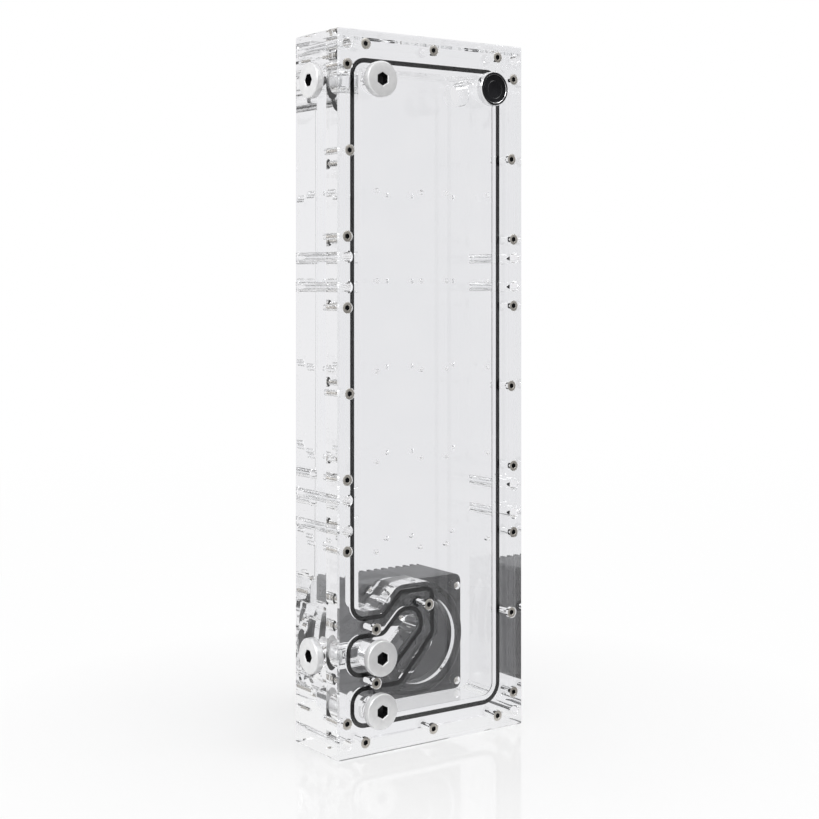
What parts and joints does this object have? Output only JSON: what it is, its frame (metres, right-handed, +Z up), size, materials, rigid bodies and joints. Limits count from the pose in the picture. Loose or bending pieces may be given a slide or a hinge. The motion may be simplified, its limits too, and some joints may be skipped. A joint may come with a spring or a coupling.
{
  "type": "coolant pump reservoir",
  "caption": "Flat clear coolant reservoir plate with sealed channels, screwed cover, threaded plugs and a canned-rotor pump on its back.",
  "frame": {"origin": "middle of the base face that the plate stands on", "axes": "+Z up the plate's height, +Y from the front cover to the pump at the back, +X to the right seen from the front"},
  "size_m": [0.1198, 0.0814, 0.36],
  "materials": {
    "clear_acrylic": "polished clear acrylic",
    "seal_rubber": "smooth black rubber",
    "screw_steel": "turned steel",
    "satin_silver": "satin plated brass",
    "polished_rim": "polished rim round a black enamelled face",
    "pump_black": "fine matt moulding",
    "housing_charcoal": "charcoal anodised, fine blasted",
    "rotor_plastic": "glass-filled moulding",
    "shaft_ceramic": "ground ceramic",
    "bush_carbon": "carbon graphite",
    "magnet_ferrite": "ground ferrite",
    "stator_iron": "stacked laminations",
    "coil_copper": "enamelled copper wire",
    "board_green": "solder mask",
    "capacitor_can": "satin can"
  },
  "bodies": {
    "plate": {"front_cover": "clear_acrylic", "tank_body": "clear_acrylic", "main_seal": "seal_rubber", "outlet_seal": "seal_rubber", "cover_screws": "screw_steel", "land_screws": "screw_steel", "pump_seal": "seal_rubber", "pump_flange": "pump_black", "pump_housing": "housing_charcoal", "pump_back_cover": "housing_charcoal", "pump_screws": "screw_steel", "cable_gland": "seal_rubber", "rotor_can": "rotor_plastic", "rotor_shaft": "shaft_ceramic", "stator_core": "stator_iron", "stator_coils": "coil_copper", "circuit_board": "board_green", "board_capacitors": "capacitor_can"},
    "rotor": {"impeller": "rotor_plastic", "rotor_magnet": "magnet_ferrite", "rotor_bush": "bush_carbon"},
    "top_plug_ring": {"top_plug_ring": "seal_rubber"},
    "top_plug": {"top_plug": "satin_silver"},
    "outlet_plug_ring": {"outlet_plug_ring": "seal_rubber"},
    "outlet_plug": {"outlet_plug": "satin_silver"},
    "drain_plug_ring": {"drain_plug_ring": "seal_rubber"},
    "drain_plug": {"drain_plug": "satin_silver"},
    "fill_plug_ring": {"fill_plug_ring": "seal_rubber"},
    "fill_plug": {"fill_plug": "polished_rim"},
    "side_top_plug_ring": {"side_top_plug_ring": "seal_rubber"},
    "side_top_plug": {"side_top_plug": "satin_silver"},
    "side_outlet_plug_ring": {"side_outlet_plug_ring": "seal_rubber"},
    "side_outlet_plug": {"side_outlet_plug": "satin_silver"}
  },
  "joints": [
    {"name": "rotor_spin", "type": "hinge", "parent": "plate", "child": "rotor", "pos_m": [0.01, 0.0205, 0.046], "axis": [0, 1, 0], "continuous": true},
    {"name": "top_plug_lift", "type": "slide", "parent": "plate", "child": "top_plug_ring", "axis": [0, -1, 0], "range_m": [0, 0.00802]},
    {"name": "top_plug_turn", "type": "hinge", "parent": "top_plug_ring", "child": "top_plug", "pos_m": [-0.034, -0.0205, 0.336], "axis": [0, -1, 0], "range_deg": [0, 2160]},
    {"name": "outlet_plug_lift", "type": "slide", "parent": "plate", "child": "outlet_plug_ring", "axis": [0, -1, 0], "range_m": [0, 0.00802]},
    {"name": "outlet_plug_turn", "type": "hinge", "parent": "outlet_plug_ring", "child": "outlet_plug", "pos_m": [-0.034, -0.0205, 0.048], "axis": [0, -1, 0], "range_deg": [0, 2160]},
    {"name": "drain_plug_lift", "type": "slide", "parent": "plate", "child": "drain_plug_ring", "axis": [0, -1, 0], "range_m": [0, 0.00802]},
    {"name": "drain_plug_turn", "type": "hinge", "parent": "drain_plug_ring", "child": "drain_plug", "pos_m": [-0.034, -0.0205, 0.0216], "axis": [0, -1, 0], "range_deg": [0, 2160]},
    {"name": "fill_plug_lift", "type": "slide", "parent": "plate", "child": "fill_plug_ring", "axis": [0, -1, 0], "range_m": [0, 0.00802]},
    {"name": "fill_plug_turn", "type": "hinge", "parent": "fill_plug_ring", "child": "fill_plug", "pos_m": [0.0365, -0.0205, 0.336], "axis": [0, -1, 0], "range_deg": [0, 2160]},
    {"name": "side_top_plug_lift", "type": "slide", "parent": "plate", "child": "side_top_plug_ring", "axis": [-1, 0, 0], "range_m": [0, 0.00802]},
    {"name": "side_top_plug_turn", "type": "hinge", "parent": "side_top_plug_ring", "child": "side_top_plug", "pos_m": [-0.058, 0.0017, 0.336], "axis": [-1, 0, 0], "range_deg": [0, 2160]},
    {"name": "side_outlet_plug_lift", "type": "slide", "parent": "plate", "child": "side_outlet_plug_ring", "axis": [-1, 0, 0], "range_m": [0, 0.00802]},
    {"name": "side_outlet_plug_turn", "type": "hinge", "parent": "side_outlet_plug_ring", "child": "side_outlet_plug", "pos_m": [-0.058, 0.0017, 0.048], "axis": [-1, 0, 0], "range_deg": [0, 2160]}
  ],
  "couplings": [
    {"joint": "top_plug_turn", "follows": "top_plug_lift", "rad_per_m": 4699.5},
    {"joint": "outlet_plug_turn", "follows": "outlet_plug_lift", "rad_per_m": 4699.5},
    {"joint": "drain_plug_turn", "follows": "drain_plug_lift", "rad_per_m": 4699.5},
    {"joint": "fill_plug_turn", "follows": "fill_plug_lift", "rad_per_m": 4699.5},
    {"joint": "side_top_plug_turn", "follows": "side_top_plug_lift", "rad_per_m": 4699.5},
    {"joint": "side_outlet_plug_turn", "follows": "side_outlet_plug_lift", "rad_per_m": 4699.5}
  ]
}
